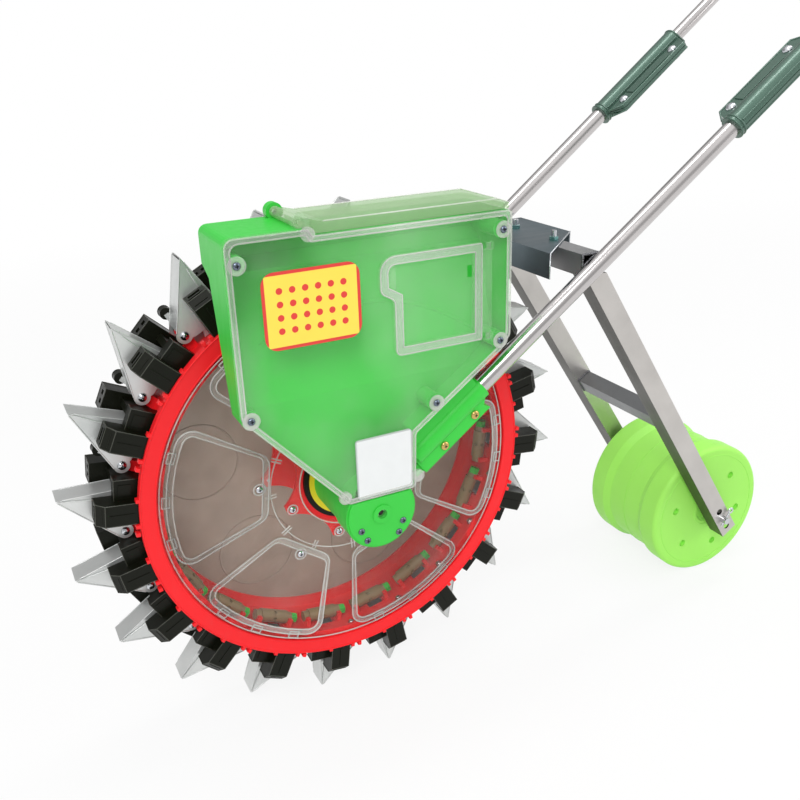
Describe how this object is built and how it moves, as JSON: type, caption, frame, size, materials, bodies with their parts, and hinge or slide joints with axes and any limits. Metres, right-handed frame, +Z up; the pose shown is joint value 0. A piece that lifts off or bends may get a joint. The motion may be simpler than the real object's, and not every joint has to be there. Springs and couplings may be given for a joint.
{
  "type": "walk-behind seed planter",
  "caption": "Walk-behind rolling seed planter: spiked planting wheel with opening beaks, side hopper with clear front, twin push handles and a rear press wheel.",
  "frame": {"origin": "middle of the footprint on the floor", "axes": "+X rearward along the machine, +Y to the side away from the hopper, +Z up"},
  "size_m": [1.1778, 0.276, 0.9156],
  "materials": {
    "red_plastic": "moulded satin",
    "smoky_clear": "smoky clear plastic",
    "clear": "clear plastic",
    "green_plastic": "moulded gloss",
    "lime_plastic": "blow-moulded satin",
    "black_plastic": "moulded satin",
    "yellow_plastic": "moulded",
    "olive_plastic": "moulded",
    "pale_plastic": "moulded",
    "dark_green": "moulded",
    "beak_steel": "zinc plated sheet",
    "tube_steel": "polished tube",
    "zinc_steel": "dull zinc",
    "screw_steel": "plated",
    "brass": "plated",
    "rubber": "ribbed"
  },
  "bodies": {
    "frame": {"axle": "tube_steel", "hopper_shell": "green_plastic", "hopper_cover": "clear", "hub_cap": "green_plastic", "hopper_screws": "screw_steel", "clamp_near": "green_plastic", "clamp_far": "green_plastic", "clamp_screws": "brass", "lower_tube_near": "tube_steel", "lower_tube_far": "tube_steel", "sleeve_near": "dark_green", "sleeve_far": "dark_green", "frame_bolts": "screw_steel", "crossbar_tube": "zinc_steel", "crossbar_channel": "zinc_steel", "leg_near": "zinc_steel", "leg_far": "zinc_steel", "leg_brace": "zinc_steel", "press_axle": "screw_steel"},
    "planting_wheel": {"rim_drum": "red_plastic", "wheel_cover_near": "smoky_clear", "wheel_cover_far": "smoky_clear", "cover_windows": "smoky_clear", "hub_star_near": "red_plastic", "hub_star_far": "red_plastic", "hub_sleeve": "pale_plastic", "inlet_ring": "yellow_plastic", "beak_fixed_halves": "beak_steel", "mouth_blocks": "black_plastic", "beak_pivot_screws": "screw_steel", "beak_springs": "zinc_steel", "metering_rollers": "olive_plastic", "wheel_screws": "screw_steel"},
    "lid": {"hopper_lid": "clear"},
    "door": {"cleanout_door": "clear"},
    "handle_near": {"upper_tube_near": "tube_steel", "grip_near": "rubber"},
    "handle_far": {"upper_tube_far": "tube_steel", "grip_far": "rubber"},
    "press_wheel": {"press_wheel": "lime_plastic"},
    "beak_01": {"beak_moving_01": "beak_steel"},
    "beak_02": {"beak_moving_02": "beak_steel"},
    "beak_03": {"beak_moving_03": "beak_steel"},
    "beak_04": {"beak_moving_04": "beak_steel"},
    "beak_05": {"beak_moving_05": "beak_steel"},
    "beak_06": {"beak_moving_06": "beak_steel"},
    "beak_07": {"beak_moving_07": "beak_steel"},
    "beak_08": {"beak_moving_08": "beak_steel"},
    "beak_09": {"beak_moving_09": "beak_steel"},
    "beak_10": {"beak_moving_10": "beak_steel"},
    "beak_11": {"beak_moving_11": "beak_steel"},
    "beak_12": {"beak_moving_12": "beak_steel"},
    "beak_13": {"beak_moving_13": "beak_steel"},
    "beak_14": {"beak_moving_14": "beak_steel"},
    "beak_15": {"beak_moving_15": "beak_steel"},
    "beak_16": {"beak_moving_16": "beak_steel"},
    "beak_17": {"beak_moving_17": "beak_steel"},
    "beak_18": {"beak_moving_18": "beak_steel"},
    "beak_19": {"beak_moving_19": "beak_steel"},
    "beak_20": {"beak_moving_20": "beak_steel"}
  },
  "joints": [
    {"name": "wheel_spin", "type": "hinge", "parent": "frame", "child": "planting_wheel", "pos_m": [-0.30252, 0, 0.28643], "axis": [0, 1, 0], "continuous": true},
    {"name": "press_wheel_spin", "type": "hinge", "parent": "frame", "child": "press_wheel", "pos_m": [0.21078, 0, 0.092], "axis": [0, 1, 0], "continuous": true},
    {"name": "lid_hinge", "type": "hinge", "parent": "frame", "child": "lid", "pos_m": [-0.35421, -0.092, 0.58371], "axis": [0, -1, 0], "range_deg": [0, 110]},
    {"name": "door_hinge", "type": "hinge", "parent": "frame", "child": "door", "pos_m": [-0.17332, -0.134, 0.49106], "axis": [0.0348, 0, 0.9994], "range_deg": [0, 100]},
    {"name": "handle_near_slide", "type": "slide", "parent": "frame", "child": "handle_near", "axis": [0.819, -0.0175, 0.5736], "range_m": [-0.15, 0.05]},
    {"name": "handle_far_slide", "type": "slide", "parent": "frame", "child": "handle_far", "axis": [0.819, 0.0175, 0.5736], "range_m": [-0.15, 0.05]},
    {"name": "beak_01_hinge", "type": "hinge", "parent": "planting_wheel", "child": "beak_01", "pos_m": [-0.29738, 0, 0.0568], "axis": [0, -1, 0], "range_deg": [0, 14], "stiffness_Nm_per_rad": 0.6, "springref_deg": -14.32},
    {"name": "beak_02_hinge", "type": "hinge", "parent": "planting_wheel", "child": "beak_02", "pos_m": [-0.22667, 0, 0.06963], "axis": [0, -1, 0], "range_deg": [0, 14], "stiffness_Nm_per_rad": 0.6, "springref_deg": -14.32},
    {"name": "beak_03_hinge", "type": "hinge", "parent": "planting_wheel", "child": "beak_03", "pos_m": [-0.16338, 0, 0.10368], "axis": [0, -1, 0], "range_deg": [0, 14], "stiffness_Nm_per_rad": 0.6, "springref_deg": -14.32},
    {"name": "beak_04_hinge", "type": "hinge", "parent": "planting_wheel", "child": "beak_04", "pos_m": [-0.11372, 0, 0.15562], "axis": [0, -1, 0], "range_deg": [0, 14], "stiffness_Nm_per_rad": 0.6, "springref_deg": -14.32},
    {"name": "beak_05_hinge", "type": "hinge", "parent": "planting_wheel", "child": "beak_05", "pos_m": [-0.08253, 0, 0.22036], "axis": [0, -1, 0], "range_deg": [0, 14], "stiffness_Nm_per_rad": 0.6, "springref_deg": -14.32},
    {"name": "beak_06_hinge", "type": "hinge", "parent": "planting_wheel", "child": "beak_06", "pos_m": [-0.07288, 0, 0.29157], "axis": [0, -1, 0], "range_deg": [0, 14], "stiffness_Nm_per_rad": 0.6, "springref_deg": -14.32},
    {"name": "beak_07_hinge", "type": "hinge", "parent": "planting_wheel", "child": "beak_07", "pos_m": [-0.08571, 0, 0.36228], "axis": [0, -1, 0], "range_deg": [0, 14], "stiffness_Nm_per_rad": 0.6, "springref_deg": -14.32},
    {"name": "beak_08_hinge", "type": "hinge", "parent": "planting_wheel", "child": "beak_08", "pos_m": [-0.11976, 0, 0.42556], "axis": [0, -1, 0], "range_deg": [0, 14], "stiffness_Nm_per_rad": 0.6, "springref_deg": -14.32},
    {"name": "beak_09_hinge", "type": "hinge", "parent": "planting_wheel", "child": "beak_09", "pos_m": [-0.1717, 0, 0.47523], "axis": [0, -1, 0], "range_deg": [0, 14], "stiffness_Nm_per_rad": 0.6, "springref_deg": -14.32},
    {"name": "beak_10_hinge", "type": "hinge", "parent": "planting_wheel", "child": "beak_10", "pos_m": [-0.23644, 0, 0.50641], "axis": [0, -1, 0], "range_deg": [0, 14], "stiffness_Nm_per_rad": 0.6, "springref_deg": -14.32},
    {"name": "beak_11_hinge", "type": "hinge", "parent": "planting_wheel", "child": "beak_11", "pos_m": [-0.30766, 0, 0.51606], "axis": [0, -1, 0], "range_deg": [0, 14], "stiffness_Nm_per_rad": 0.6, "springref_deg": -14.32},
    {"name": "beak_12_hinge", "type": "hinge", "parent": "planting_wheel", "child": "beak_12", "pos_m": [-0.37837, 0, 0.50323], "axis": [0, -1, 0], "range_deg": [0, 14], "stiffness_Nm_per_rad": 0.6, "springref_deg": -14.32},
    {"name": "beak_13_hinge", "type": "hinge", "parent": "planting_wheel", "child": "beak_13", "pos_m": [-0.44165, 0, 0.46918], "axis": [0, -1, 0], "range_deg": [0, 14], "stiffness_Nm_per_rad": 0.6, "springref_deg": -14.32},
    {"name": "beak_14_hinge", "type": "hinge", "parent": "planting_wheel", "child": "beak_14", "pos_m": [-0.49131, 0, 0.41724], "axis": [0, -1, 0], "range_deg": [0, 14], "stiffness_Nm_per_rad": 0.6, "springref_deg": -14.32},
    {"name": "beak_15_hinge", "type": "hinge", "parent": "planting_wheel", "child": "beak_15", "pos_m": [-0.5225, 0, 0.3525], "axis": [0, -1, 0], "range_deg": [0, 14], "stiffness_Nm_per_rad": 0.6, "springref_deg": -14.32},
    {"name": "beak_16_hinge", "type": "hinge", "parent": "planting_wheel", "child": "beak_16", "pos_m": [-0.53215, 0, 0.28129], "axis": [0, -1, 0], "range_deg": [0, 14], "stiffness_Nm_per_rad": 0.6, "springref_deg": -14.32},
    {"name": "beak_17_hinge", "type": "hinge", "parent": "planting_wheel", "child": "beak_17", "pos_m": [-0.51932, 0, 0.21058], "axis": [0, -1, 0], "range_deg": [0, 14], "stiffness_Nm_per_rad": 0.6, "springref_deg": -14.32},
    {"name": "beak_18_hinge", "type": "hinge", "parent": "planting_wheel", "child": "beak_18", "pos_m": [-0.48527, 0, 0.1473], "axis": [0, -1, 0], "range_deg": [0, 14], "stiffness_Nm_per_rad": 0.6, "springref_deg": -14.32},
    {"name": "beak_19_hinge", "type": "hinge", "parent": "planting_wheel", "child": "beak_19", "pos_m": [-0.43333, 0, 0.09763], "axis": [0, -1, 0], "range_deg": [0, 14], "stiffness_Nm_per_rad": 0.6, "springref_deg": -14.32},
    {"name": "beak_20_hinge", "type": "hinge", "parent": "planting_wheel", "child": "beak_20", "pos_m": [-0.36859, 0, 0.06645], "axis": [0, -1, 0], "range_deg": [0, 14], "stiffness_Nm_per_rad": 0.6, "springref_deg": -14.32}
  ]
}
